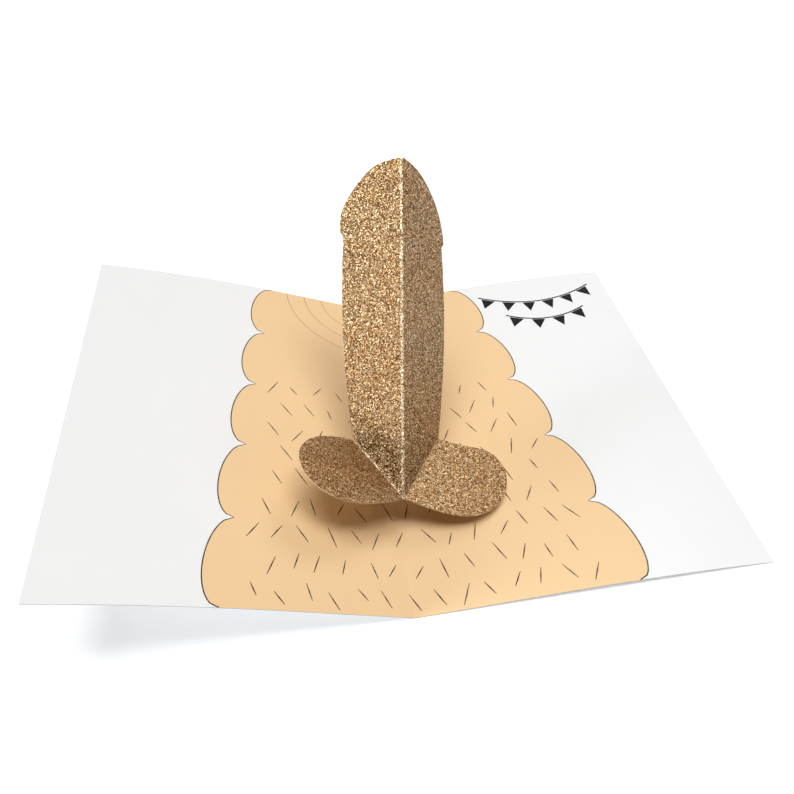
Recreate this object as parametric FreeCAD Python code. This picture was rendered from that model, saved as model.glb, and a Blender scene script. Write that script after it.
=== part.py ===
import FreeCAD, Part
import math
import os

# Adult novelty pop-up greeting card, standing open on a table.
# Lengths are millimetres and angles are degrees.
# The card is drawn in its own frame first: the fold line is the Y axis, Y runs from the near edge
# to the far edge, X is to the right and Z halves the angle between the two leaves.
# It is then leaned over until it rests on its fold and on the outer edge of its right leaf.

# Folded card
LEAF_WIDTH = 127.0          # 5 in, measured along the paper from the fold to the outer edge
LEAF_HEIGHT = 178.0         # 7 in, along the fold
CARD_THICKNESS = 0.35       # 300 g/m2 card
LEAF_RISE = 13.3            # each leaf's slope beside the fold, half of what the card lacks to flat
LEAF_DROOP = 6.8            # how much of that slope the arched outer part of a leaf loses
FLAT_STRIP = 45.0           # straight part of a leaf, from the fold's bend to where the arch begins
FOLD_RADIUS = 6.0           # inner radius of the opened fold

# Glitter pop-up: one cut sheet, two panels and two lobes
GLITTER_THICKNESS = 0.4     # glitter card
NOTCH_FROM_EDGE = 40.2      # the point where its creases meet, from the card's near edge
NOTCH_ABOVE_FOLD = 15.4     # the same point above the card's fold
SPINE_LENGTH = 124.2        # centre crease, from the notch to the tip
SPINE_RISE = 47.3           # centre crease above the card's fold line
PANEL_SWEEP = 50.0          # each panel from the upright plane of the centre crease
PANEL_HALF_WIDTH = 26.0     # widest part of the straight panels, each side of the crease
HEAD_START_LEFT = 99.0      # along the crease, where the small step under the rounded top is
HEAD_START_RIGHT = 95.3
HEAD_STEP = 1.6             # how far the step runs along the crease
HEAD_UNDERCUT = 1.4         # how far the rounded top stands out past the panels
HEAD_HALF_WIDTH_LEFT = 26.9     # widest part of the rounded top
HEAD_HALF_WIDTH_RIGHT = 25.8
LOBE_CREASE_ANGLE = 46.3    # between the centre crease and a lobe's crease, in the flat sheet
LOBE_CREASE_LENGTH = 30.3
LOBE_LENGTH = 36.8          # along its crease's direction, from the notch to the far side
LOBE_REACH = 32.8           # away from its crease
LEFT_LOBE_ANGLE = 80.0      # how far the left lobe is folded forward out of its panel
RIGHT_LOBE_ANGLE = 46.5     # the right lobe is folded less, so it hangs lower

# Outline of the rounded top between its step and the tip, as shares of its length and half width
HEAD_SHAPE_LEFT = [(0.28, 0.985), (0.61, 0.80), (0.945, 0.42)]
HEAD_SHAPE_RIGHT = [(0.22, 0.95), (0.64, 0.69), (0.92, 0.30)]
# Outline of a lobe between the notch and the corner, as shares of its length and its reach
LOBE_SHAPE_LEFT = [(0.08, 0.43), (0.26, 0.82), (0.59, 1.0), (0.91, 0.85), (1.0, 0.52)]
LOBE_SHAPE_RIGHT = [(0.08, 0.43), (0.26, 0.82), (0.59, 1.0), (0.93, 0.845), (0.995, 0.63), (0.92, 0.35)]

# Folded risers that hold the lobes off the leaves
RISER_THICKNESS = 0.3
RISER_FROM_NOTCH = 13.0     # along the lobe's crease
RISER_LENGTH = 14.0
RISER_FROM_CREASE = 2.5     # from the lobe's crease to the riser's wall, under the lobe
FLAP_WIDTH = 7.0            # glue flap
FLAP_TAPER = 3.0            # how much each end of a flap is cut back at its outer edge

LEFT, RIGHT = -1, 1


def vec(x, y, z):
    return FreeCAD.Vector(x, y, z)


def unit(v):
    return FreeCAD.Vector(v).normalize()


class Plane:
    """A flat piece of sheet: an origin on its middle surface and two directions in it.

    Its front is the side that faces up when the card lies open: the printed or glitter side.
    """

    def __init__(self, origin, along, across, side):
        self.origin = origin
        self.along = unit(along)
        self.across = unit(across)
        self.front = unit(self.along.cross(self.across)) * -side
        self.side = side

    def point(self, a, b):
        return self.origin + self.along * a + self.across * b

    def moved(self, distance):
        """The parallel plane at a distance towards the front."""
        return Plane(self.origin + self.front * distance, self.along, self.across, self.side)

    def plate(self, edges, thickness):
        """The sheet inside closed 3-D edges of this plane, half its thickness to each side."""
        face = Part.Face(Part.Wire(edges))
        face.translate(self.front * (-thickness / 2.0))
        return face.extrude(self.front * thickness)


def line(a, b):
    return Part.LineSegment(a, b).toShape()


def arc(a, b, c):
    return Part.Arc(a, b, c).toShape()


def smooth(points):
    """A smooth curve through the points."""
    curve = Part.BSplineCurve()
    curve.interpolate(points)
    return curve.toShape()


def polygon_edges(points):
    return [line(a, b) for a, b in zip(points, points[1:] + points[:1])]


def mitred(plate, start, end, inward, other_inward, thickness):
    """Trims a plate at a crease, so that it meets its neighbour on the plane between them.

    inward and other_inward point from the crease into the plate and into its neighbour.
    """
    margin = thickness * 5.0
    along = unit(end - start)
    removed = unit(other_inward - inward)
    up = along.cross(removed)
    near, far = start - along * margin, end + along * margin
    corners = [near - up * margin, far - up * margin, far + up * margin, near + up * margin]
    blank = Part.Face(Part.Wire(polygon_edges(corners))).extrude(removed * margin)
    return plate.cut(blank)


def fused(shapes):
    return shapes[0].multiFuse(shapes[1:]).removeSplitter()


def leaf_line(offset):
    """Corner points of the right leaf's section, at an offset below its inner surface.

    Returns the end of the fold's bend, the end of the flat strip, the middle of the arch
    and the outer edge.
    """
    rise = math.radians(LEAF_RISE)
    droop = math.radians(LEAF_DROOP)
    bend_length = FOLD_RADIUS * rise
    arch_radius = (LEAF_WIDTH - FLAT_STRIP - bend_length) / droop
    down = vec(math.sin(rise), 0, -math.cos(rise))
    bend_end = vec(FOLD_RADIUS * math.sin(rise), 0, FOLD_RADIUS * (1 - math.cos(rise)))
    flat_end = bend_end + vec(math.cos(rise), 0, math.sin(rise)) * FLAT_STRIP
    arch_centre = flat_end + down * arch_radius

    def on_arch(share):
        slope = rise - droop * share
        return arch_centre + vec(-math.sin(slope), 0, math.cos(slope)) * (arch_radius - offset)

    return bend_end + down * offset, flat_end + down * offset, on_arch(0.5), on_arch(1.0)


def mirrored(p):
    return vec(-p.x, p.y, p.z)


def leaf_plane(side):
    """Inner surface of a leaf's flat strip, with the fold line's direction first."""
    bend_end, flat_end, _, _ = leaf_line(0.0)
    if side == LEFT:
        bend_end, flat_end = mirrored(bend_end), mirrored(flat_end)
    return Plane(bend_end, vec(0, 1, 0), flat_end - bend_end, side)


def make_card():
    """One sheet, folded once, with a soft bend at the fold and two slightly arched leaves."""
    inner = leaf_line(0.0)
    outer = leaf_line(CARD_THICKNESS)
    fold_inner = vec(0, 0, 0)
    fold_outer = vec(0, 0, -CARD_THICKNESS)
    edges = []
    for (bend, flat, mid, end), fold in ((inner, fold_inner), (outer, fold_outer)):
        edges.append(arc(mirrored(end), mirrored(mid), mirrored(flat)))
        edges.append(line(mirrored(flat), mirrored(bend)))
        edges.append(arc(mirrored(bend), fold, bend))
        edges.append(line(bend, flat))
        edges.append(arc(flat, mid, end))
    edges.append(line(inner[3], outer[3]))
    edges.append(line(mirrored(inner[3]), mirrored(outer[3])))
    section = Part.Face(Part.Wire(Part.__sortEdges__(edges)))
    return section.extrude(vec(0, LEAF_HEIGHT, 0))


def notch_point():
    return vec(0, NOTCH_FROM_EDGE, NOTCH_ABOVE_FOLD)


def panel_plane(side):
    """A panel of the pop-up: the centre crease first, then away from it."""
    rise = math.radians(SPINE_RISE)
    sweep = math.radians(PANEL_SWEEP)
    spine = vec(0, math.cos(rise), math.sin(rise))
    back = vec(0, math.sin(rise), -math.cos(rise))
    away = vec(side * math.sin(sweep), 0, 0) + back * math.cos(sweep)
    return Plane(notch_point(), spine, away, side)


def lobe_plane(side):
    """A lobe of the pop-up: its crease first, then away from it after folding it forward."""
    panel = panel_plane(side)
    angle = math.radians(LOBE_CREASE_ANGLE)
    fold = LEFT_LOBE_ANGLE if side == LEFT else RIGHT_LOBE_ANGLE
    hinge = panel.along * math.cos(angle) + panel.across * math.sin(angle)
    flat_away = panel.across * math.cos(angle) - panel.along * math.sin(angle)
    turn = FreeCAD.Rotation(hinge, -side * fold)
    return Plane(panel.origin, hinge, turn.multVec(flat_away), side)


def panel_edges(side):
    """Outline of one panel, drawn a little past its two creases so that they can be mitred."""
    panel = panel_plane(side)
    angle = math.radians(LOBE_CREASE_ANGLE)
    over = GLITTER_THICKNESS
    corner = (LOBE_CREASE_LENGTH * math.cos(angle), LOBE_CREASE_LENGTH * math.sin(angle))
    head_start = HEAD_START_LEFT if side == LEFT else HEAD_START_RIGHT
    half_width = HEAD_HALF_WIDTH_LEFT if side == LEFT else HEAD_HALF_WIDTH_RIGHT
    notch = panel.point(-over / math.tan(angle / 2.0), -over)
    tip_over, tip = panel.point(SPINE_LENGTH, -over), panel.point(SPINE_LENGTH, 0)
    top = head_points(panel, head_start + HEAD_STEP, half_width)
    under = panel.point(head_start, half_width - HEAD_UNDERCUT)
    middle = panel.point((corner[0] + head_start) / 2.0, PANEL_HALF_WIDTH)
    low = panel.point(*corner)
    low_over = panel.point(corner[0] - over * math.sin(angle), corner[1] + over * math.cos(angle))
    return [line(notch, tip_over), line(tip_over, tip), smooth(top[::-1]),
            line(top[0], under), arc(under, middle, low), line(low, low_over), line(low_over, notch)]


def head_points(panel, rim_at, half_width):
    """Points of the rounded top's outline, from its widest place up to the tip."""
    shape = HEAD_SHAPE_LEFT if panel.side == LEFT else HEAD_SHAPE_RIGHT
    length = SPINE_LENGTH - rim_at
    return [panel.point(rim_at + a * length, b * half_width) for a, b in [(0, 1)] + shape + [(1, 0)]]


def lobe_edges(side):
    """Outline of one lobe, from the notch round to the corner, drawn a little past its crease."""
    lobe = lobe_plane(side)
    shape = LOBE_SHAPE_LEFT if side == LEFT else LOBE_SHAPE_RIGHT
    points = [lobe.point(a * LOBE_LENGTH, b * LOBE_REACH) for a, b in shape]
    notch, corner = lobe.point(0, 0), lobe.point(LOBE_CREASE_LENGTH, 0)
    corner_over = lobe.point(LOBE_CREASE_LENGTH, -GLITTER_THICKNESS)
    notch_over = lobe.point(0, -GLITTER_THICKNESS)
    return [smooth([notch] + points + [corner]), line(corner, corner_over),
            line(corner_over, notch_over), line(notch_over, notch)]


def make_popup():
    """One cut sheet with three creases that meet at the notch between the lobes."""
    notch = notch_point()
    angle = math.radians(LOBE_CREASE_ANGLE)
    plates = []
    for side in (LEFT, RIGHT):
        panel, lobe = panel_plane(side), lobe_plane(side)
        tip, corner = panel.point(SPINE_LENGTH, 0), lobe.point(LOBE_CREASE_LENGTH, 0)
        from_lobe = panel.along * math.sin(angle) - panel.across * math.cos(angle)
        plate = panel.plate(panel_edges(side), GLITTER_THICKNESS)
        plate = mitred(plate, notch, tip, panel.across, panel_plane(-side).across, GLITTER_THICKNESS)
        plates.append(mitred(plate, notch, corner, from_lobe, lobe.across, GLITTER_THICKNESS))
        plate = lobe.plate(lobe_edges(side), GLITTER_THICKNESS)
        plates.append(mitred(plate, notch, corner, lobe.across, from_lobe, GLITTER_THICKNESS))
    return fused(plates)


def flap_edges(near_end, far_end, away):
    """A glue flap that tapers away from its crease, drawn a little past the crease."""
    along = unit(far_end - near_end)
    over = away * RISER_THICKNESS
    return polygon_edges([near_end, near_end - over, far_end - over, far_end,
                          far_end + away * FLAP_WIDTH - along * FLAP_TAPER,
                          near_end + away * FLAP_WIDTH + along * FLAP_TAPER])


def make_riser(side):
    """A strip folded twice: a flap glued to the leaf, an upright wall, a flap under the lobe."""
    under_lobe = lobe_plane(side).moved(-(GLITTER_THICKNESS + RISER_THICKNESS) / 2.0)
    on_leaf = leaf_plane(side).moved(RISER_THICKNESS / 2.0)
    top_near = under_lobe.point(RISER_FROM_NOTCH, RISER_FROM_CREASE)
    top_far = under_lobe.point(RISER_FROM_NOTCH + RISER_LENGTH, RISER_FROM_CREASE)
    up = on_leaf.front
    foot_near = top_near - up * (top_near - on_leaf.origin).dot(up)
    foot_far = top_far - up * (top_far - on_leaf.origin).dot(up)
    foot_away = unit((foot_far - foot_near).cross(up)) * -side
    over = up * RISER_THICKNESS
    wall = Plane(foot_near, foot_far - foot_near, up, side)
    wall_outline = [foot_near - over, foot_far - over, top_far + over, top_near + over]
    wall_plate = wall.plate(polygon_edges(wall_outline), RISER_THICKNESS)
    plates = []
    for plane, near_end, far_end, away, wall_inward in (
            (under_lobe, top_near, top_far, under_lobe.across, -up),
            (on_leaf, foot_near, foot_far, foot_away, up)):
        flap = plane.plate(flap_edges(near_end, far_end, away), RISER_THICKNESS)
        plates.append(mitred(flap, near_end, far_end, away, wall_inward, RISER_THICKNESS))
        wall_plate = mitred(wall_plate, near_end, far_end, wall_inward, away, RISER_THICKNESS)
    return fused(plates + [wall_plate])


def rest_lean():
    """How far the card leans right, so that its fold and its right outer edge share the table."""
    outer_edge = leaf_line(CARD_THICKNESS)[3]
    fall = FOLD_RADIUS - outer_edge.z
    reach = math.hypot(fall, outer_edge.x)
    return math.degrees(math.asin((FOLD_RADIUS + CARD_THICKNESS) / reach)
                        - math.atan2(fall, outer_edge.x))


def stand_on_table(solids):
    """Leans every solid over together and puts the origin below the middle of the object."""
    for solid in solids.values():
        solid.rotate(vec(0, 0, 0), vec(0, 1, 0), rest_lean())
    corners = [v.Point for solid in solids.values() for v in solid.Vertexes]
    low = [min(p[i] for p in corners) for i in range(3)]
    high = [max(p[i] for p in corners) for i in range(3)]
    shift = vec(-(low[0] + high[0]) / 2.0, -(low[1] + high[1]) / 2.0, -low[2])
    for solid in solids.values():
        solid.translate(shift)
    return shift


def main():
    solids = {
        "card": make_card(),
        "popup": make_popup(),
        "riser_left": make_riser(LEFT),
        "riser_right": make_riser(RIGHT),
    }
    shift = stand_on_table(solids)
    print("lean %.3f deg, shift %.3f %.3f %.3f mm" % (rest_lean(), shift.x, shift.y, shift.z))
    os.makedirs("parts", exist_ok=True)
    for name, solid in solids.items():
        print(name, len(solid.Solids), solid.isValid(), "%.1f mm3" % solid.Volume)
        solid.exportStep("parts/%s.step" % name)


main()
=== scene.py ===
import logging
import math
import random
from dataclasses import dataclass
from enum import Enum
from typing import Callable, Iterable

import bpy
import numpy as np
from mathutils import Matrix, Vector
from mathutils.geometry import delaunay_2d_cdt


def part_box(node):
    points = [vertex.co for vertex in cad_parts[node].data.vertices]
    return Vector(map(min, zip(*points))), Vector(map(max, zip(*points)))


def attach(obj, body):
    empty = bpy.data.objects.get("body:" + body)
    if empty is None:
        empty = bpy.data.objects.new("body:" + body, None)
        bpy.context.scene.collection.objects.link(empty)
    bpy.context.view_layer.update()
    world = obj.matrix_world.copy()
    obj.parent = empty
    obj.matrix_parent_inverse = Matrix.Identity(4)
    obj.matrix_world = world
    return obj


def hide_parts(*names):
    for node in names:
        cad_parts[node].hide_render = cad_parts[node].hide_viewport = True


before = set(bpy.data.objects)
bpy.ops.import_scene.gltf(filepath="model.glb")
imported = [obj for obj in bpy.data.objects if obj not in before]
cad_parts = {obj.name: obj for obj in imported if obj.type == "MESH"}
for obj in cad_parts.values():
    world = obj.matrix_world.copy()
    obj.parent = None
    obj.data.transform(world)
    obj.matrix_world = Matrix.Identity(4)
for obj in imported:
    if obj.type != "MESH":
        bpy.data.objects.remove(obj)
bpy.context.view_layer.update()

MM = 0.001
SEED = 7
ROOT = "root"
CRISP_EDGE_DEG = 50.0       # faces that meet more sharply than this keep a hard edge
log = logging.getLogger("pop_up_card")


class Side(Enum):
    """The two leaves, panels and lobes, with their direction along X."""

    LEFT = -1
    RIGHT = 1


class Region(Enum):
    """What a triangle of the printed card shows, which is also its material slot."""

    PAPER = 0
    PEACH = 1
    CONTOUR = 2
    OUTLINE = 3
    ORNAMENT = 4


# Sheets and how they fold


@dataclass(frozen=True)
class CardSheet:
    """The folded card's section, in its own frame, in millimetres.

    The fold runs along Y, and Z halves the angle between the leaves.
    """

    leaf_width: float = 127.0
    leaf_height: float = 178.0
    thickness: float = 0.35
    rise_deg: float = 13.3
    droop_deg: float = 6.8
    flat_strip: float = 45.0
    fold_radius: float = 6.0

    @property
    def bend_length(self) -> float:
        """Length of half the fold's bend, along the paper."""
        return self.fold_radius * math.radians(self.rise_deg)

    def section(self, s: float, depth: float = 0.0) -> tuple[float, float]:
        """Place of a point of the section.

        Args:
            s: distance from the fold along the paper, negative on the left leaf.
            depth: distance below the inner, printed surface.

        Returns:
            Its x and z.
        """
        rise, away = math.radians(self.rise_deg), abs(s)
        arch_length = self.leaf_width - self.flat_strip - self.bend_length
        arch_radius = arch_length / math.radians(self.droop_deg)
        if away <= self.bend_length:
            slope = away / self.fold_radius
            x = self.fold_radius * math.sin(slope)
            z = self.fold_radius * (1.0 - math.cos(slope))
        else:
            along = min(away - self.bend_length, self.flat_strip)
            slope = rise
            x = self.fold_radius * math.sin(rise) + along * math.cos(rise)
            z = self.fold_radius * (1.0 - math.cos(rise)) + along * math.sin(rise)
        over = away - self.bend_length - self.flat_strip
        if over > 0:
            slope = rise - over / arch_radius
            x += arch_radius * (math.sin(rise) - math.sin(slope))
            z += arch_radius * (math.cos(slope) - math.cos(rise))
        x += depth * math.sin(slope)
        z -= depth * math.cos(slope)
        return math.copysign(x, s), z

    def lean(self) -> float:
        """How far the card leans onto its right leaf's outer edge.

        Returns:
            The angle, in radians.
        """
        x, z = self.section(self.leaf_width, self.thickness)
        fall = self.fold_radius - z
        reach = math.hypot(fall, x)
        return math.asin((self.fold_radius + self.thickness) / reach) - math.atan2(fall, x)


class CardSpace:
    """Turns the card's own frame, in millimetres, into the part's frame, in metres."""

    def __init__(self, sheet: CardSheet) -> None:
        """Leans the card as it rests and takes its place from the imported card.

        Args:
            sheet: the card's section.
        """
        self.turn = Matrix.Rotation(sheet.lean(), 3, "Y")
        low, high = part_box("card")
        ends = [self.turn @ Vector((x, 0.0, z)) for s in (-sheet.leaf_width, sheet.leaf_width)
                for depth in (0.0, sheet.thickness) for x, z in (sheet.section(s, depth),)]
        self.shift = Vector((low.x - min(p.x for p in ends) * MM, low.y,
                             high.z - max(p.z for p in ends) * MM))

    def place(self, point: Vector) -> Vector:
        """A point of the card's frame, in the part's frame."""
        return self.turn @ (point * MM) + self.shift

    def direction(self, v: Vector) -> Vector:
        """A direction of the card's frame, in the part's frame."""
        return self.turn @ v


@dataclass(frozen=True)
class HalfPattern:
    """What differs between the two halves of the pop-up's flat pattern, in millimetres.

    Each shape gives shares: of the rounded top's length and half width from its step to the tip,
    and of the lobe's length and reach from the notch to the corner.
    """

    head_start: float
    head_half_width: float
    head_shape: tuple[tuple[float, float], ...]
    lobe_fold_deg: float
    lobe_shape: tuple[tuple[float, float], ...]


@dataclass(frozen=True)
class PopupPattern:
    """The pop-up's flat pattern, in millimetres.

    x runs across the centre crease and y along it, from the notch.
    """

    thickness: float = 0.4
    notch_from_edge: float = 40.2
    notch_above_fold: float = 15.4
    spine_length: float = 124.2
    spine_rise_deg: float = 47.3
    panel_sweep_deg: float = 50.0
    panel_half_width: float = 26.0
    head_step: float = 1.6
    head_undercut: float = 1.4
    lobe_crease_deg: float = 46.3
    lobe_crease_length: float = 30.3
    lobe_length: float = 36.8
    lobe_reach: float = 32.8
    curve_step: float = 0.6     # between points of the outline's free curves
    arc_step: float = 0.8       # between points of the panels' arcs
    left: HalfPattern = HalfPattern(
        99.0, 26.9, ((0.28, 0.985), (0.61, 0.80), (0.945, 0.42)), 80.0,
        ((0.08, 0.43), (0.26, 0.82), (0.59, 1.0), (0.91, 0.85), (1.0, 0.52)))
    right: HalfPattern = HalfPattern(
        95.3, 25.8, ((0.22, 0.95), (0.64, 0.69), (0.92, 0.30)), 46.5,
        ((0.08, 0.43), (0.26, 0.82), (0.59, 1.0), (0.93, 0.845), (0.995, 0.63), (0.92, 0.35)))

    @property
    def crease_angle(self) -> float:
        """Angle between the centre crease and a lobe's crease, in radians."""
        return math.radians(self.lobe_crease_deg)

    @property
    def corner(self) -> Vector:
        """Where the right lobe's crease meets the sheet's edge."""
        outward = Vector((math.sin(self.crease_angle), math.cos(self.crease_angle)))
        return outward * self.lobe_crease_length

    def from_lobe(self, along: float, away: float) -> Vector:
        """A flat point given by its distance along and away from the right lobe's crease."""
        sine, cosine = math.sin(self.crease_angle), math.cos(self.crease_angle)
        return Vector((along * sine + away * cosine, along * cosine - away * sine))

    def half_outline(self, half: HalfPattern) -> list[Vector]:
        """A half's edge as if it were the right one, from the notch round the lobe to the tip.

        Args:
            half: the half's own numbers.

        Returns:
            Flat points.
        """
        knots = [(0.0, 0.0)]
        knots += [(a * self.lobe_length, b * self.lobe_reach) for a, b in half.lobe_shape]
        knots.append((self.lobe_crease_length, 0.0))
        points = [self.from_lobe(*p) for p in smooth_curve(knots, self.curve_step)]
        neck = Vector((half.head_half_width - self.head_undercut, half.head_start))
        middle = Vector((self.panel_half_width, (self.corner.y + half.head_start) / 2.0))
        points += arc_points(self.corner, middle, neck, self.arc_step)[1:]
        rim_at = half.head_start + self.head_step
        top = self.spine_length - rim_at
        knots = [(b * half.head_half_width, rim_at + a * top)
                 for a, b in ((0.0, 1.0), *half.head_shape)]
        knots.append((0.0, self.spine_length))
        return points + [Vector(p) for p in smooth_curve(knots, self.curve_step)]

    def outline(self) -> list[Vector]:
        """The whole sheet's edge, from the notch round the right half to the tip and back."""
        left = [Vector((-p.x, p.y)) for p in self.half_outline(self.left)]
        return self.half_outline(self.right) + list(reversed(left[1:-1]))

    def creases(self) -> list[tuple[Vector, Vector]]:
        """The three creases: the centre one, the right one and the left one.

        Returns:
            For each, the notch and its other end.
        """
        notch = Vector((0.0, 0.0))
        left_corner = Vector((-self.corner.x, self.corner.y))
        tip = Vector((0.0, self.spine_length))
        return [(notch, tip), (notch, self.corner), (notch, left_corner)]

    def crease_distance(self, p: Vector) -> float:
        """Distance from a flat point to the nearest crease."""
        return min(segment_distance(p, a, b) for a, b in self.creases())


def segment_distance(p: Vector, a: Vector, b: Vector) -> float:
    """Distance from a flat point to a segment.

    Args:
        p: the point.
        a: one end of the segment.
        b: its other end.

    Returns:
        The distance.
    """
    along = b - a
    share = max(0.0, min(1.0, (p - a).dot(along) / along.length_squared))
    return (p - a - along * share).length


def arc_points(a: Vector, b: Vector, c: Vector, step: float) -> list[Vector]:
    """Points on the arc from a through b to c.

    Args:
        a: where the arc starts.
        b: a point that it passes.
        c: where it ends.
        step: about how far apart the points are.

    Returns:
        The points, both ends among them.
    """
    d = 2.0 * (a.x * (b.y - c.y) + b.x * (c.y - a.y) + c.x * (a.y - b.y))
    squares = [p.length_squared for p in (a, b, c)]
    cx = (squares[0] * (b.y - c.y) + squares[1] * (c.y - a.y) + squares[2] * (a.y - b.y)) / d
    cy = (squares[0] * (c.x - b.x) + squares[1] * (a.x - c.x) + squares[2] * (b.x - a.x)) / d
    centre = Vector((cx, cy))
    start = math.atan2(a.y - cy, a.x - cx)
    sweep = math.remainder(math.atan2(c.y - cy, c.x - cx) - start, 2.0 * math.pi)
    radius = (a - centre).length
    steps = max(2, round(abs(sweep) * radius / step))
    turns = [start + sweep * i / steps for i in range(steps + 1)]
    return [centre + Vector((math.cos(t), math.sin(t))) * radius for t in turns]


def smooth_curve(knots: list[tuple[float, float]], step: float) -> list[tuple[float, float]]:
    """Points on a natural cubic curve.

    Args:
        knots: what the curve passes through.
        step: about how far apart the points are.

    Returns:
        The points, both ends among them.
    """
    k = np.array(knots, float)
    t = np.concatenate([[0.0], np.cumsum(np.linalg.norm(np.diff(k, axis=0), axis=1))])
    h = np.diff(t)
    n = len(t)
    rows, right = np.zeros((n, n)), np.zeros((n, 2))
    rows[0, 0] = rows[-1, -1] = 1.0
    for i in range(1, n - 1):
        rows[i, i - 1:i + 2] = h[i - 1], 2.0 * (h[i - 1] + h[i]), h[i]
        right[i] = 6.0 * ((k[i + 1] - k[i]) / h[i] - (k[i] - k[i - 1]) / h[i - 1])
    bend = np.linalg.solve(rows, right)
    at = np.linspace(0.0, t[-1], max(2, round(t[-1] / step)) + 1)
    span = np.clip(np.searchsorted(t, at, side="right") - 1, 0, n - 2)
    a, b, w = (t[span + 1] - at)[:, None], (at - t[span])[:, None], h[span][:, None]
    curve = (bend[span] * a ** 3 + bend[span + 1] * b ** 3) / (6.0 * w)
    fading = k[span] / w - bend[span] * w / 6.0
    rising = k[span + 1] / w - bend[span + 1] * w / 6.0
    curve += fading * a + rising * b
    return [tuple(p) for p in curve]


@dataclass
class FoldedPopup:
    """Folds the flat pattern into its standing shape, in the card's frame."""

    pattern: PopupPattern
    bend_radius: float = 0.55   # how far to each side of a crease the sheet bends
    rings: tuple[float, ...] = (0.5, 1.0)   # shares of that radius at which a bend is sampled
    samples: int = 12           # on each ring
    probe: float = 0.05         # step over which the sheet's direction is measured
    lobe_curl: float = 0.7      # how far a lobe's far part bends out of its plane
    curl_start: float = 12.0    # from the lobe's crease

    def __post_init__(self) -> None:
        """Works out the directions of the panels and the lobes."""
        pattern = self.pattern
        rise, sweep = math.radians(pattern.spine_rise_deg), math.radians(pattern.panel_sweep_deg)
        self.notch = Vector((0.0, pattern.notch_from_edge, pattern.notch_above_fold))
        self.spine = Vector((0.0, math.cos(rise), math.sin(rise)))
        back = Vector((0.0, math.sin(rise), -math.cos(rise)))
        self.across: dict[int, Vector] = {}
        self.lobe: dict[int, tuple[Vector, Vector, Vector]] = {}
        sine, cosine = math.sin(pattern.crease_angle), math.cos(pattern.crease_angle)
        folds = {Side.LEFT: pattern.left.lobe_fold_deg, Side.RIGHT: pattern.right.lobe_fold_deg}
        for side, fold in folds.items():
            away = Vector((side.value * math.sin(sweep), 0.0, 0.0)) + back * math.cos(sweep)
            hinge = self.spine * cosine + away * sine
            turn = Matrix.Rotation(math.radians(-side.value * fold), 3, hinge)
            outward = turn @ (away * cosine - self.spine * sine)
            front = hinge.cross(outward).normalized() * -side.value
            self.across[side.value] = away
            self.lobe[side.value] = (hinge, outward, front)

    def sharp(self, x: float, y: float) -> Vector:
        """Where a flat point lies if the creases are sharp.

        Args:
            x: its distance across the centre crease.
            y: its distance along that crease.

        Returns:
            Its place in the card's frame.
        """
        side = 1 if x >= 0.0 else -1
        angle = self.pattern.crease_angle
        away = abs(x) * math.cos(angle) - y * math.sin(angle)
        if away <= 0.0:
            return self.notch + self.spine * y + self.across[side] * abs(x)
        along = abs(x) * math.sin(angle) + y * math.cos(angle)
        hinge, outward, front = self.lobe[side]
        far = max(0.0, away - self.curl_start) / (self.pattern.lobe_reach - self.curl_start)
        return self.notch + hinge * along + outward * away - front * (self.lobe_curl * far * far)

    def fold(self, p: Vector) -> Vector:
        """Where a flat point lies, with each crease bent over a small radius.

        Args:
            p: the flat point.

        Returns:
            Its place in the card's frame.
        """
        if self.pattern.crease_distance(p) > self.bend_radius:
            return self.sharp(p.x, p.y)
        total = Vector((0.0, 0.0, 0.0))
        for i in range(self.samples):
            turn = 2.0 * math.pi * i / self.samples
            for ring in self.rings:
                radius = ring * self.bend_radius
                total += self.sharp(p.x + radius * math.cos(turn), p.y + radius * math.sin(turn))
        return total / (len(self.rings) * self.samples)

    def front(self, p: Vector) -> Vector:
        """The direction that the glitter side faces.

        Args:
            p: a flat point.

        Returns:
            A unit vector of the card's frame.
        """
        step = self.probe
        dx = self.fold(Vector((p.x + step, p.y))) - self.fold(Vector((p.x - step, p.y)))
        dy = self.fold(Vector((p.x, p.y + step))) - self.fold(Vector((p.x, p.y - step)))
        return dx.cross(dy).normalized()


# Print


@dataclass(frozen=True)
class Swag:
    """A string of pennants between two points of the flat sheet."""

    start: tuple[float, float]
    end: tuple[float, float]
    drop: float
    flags: int


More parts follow.
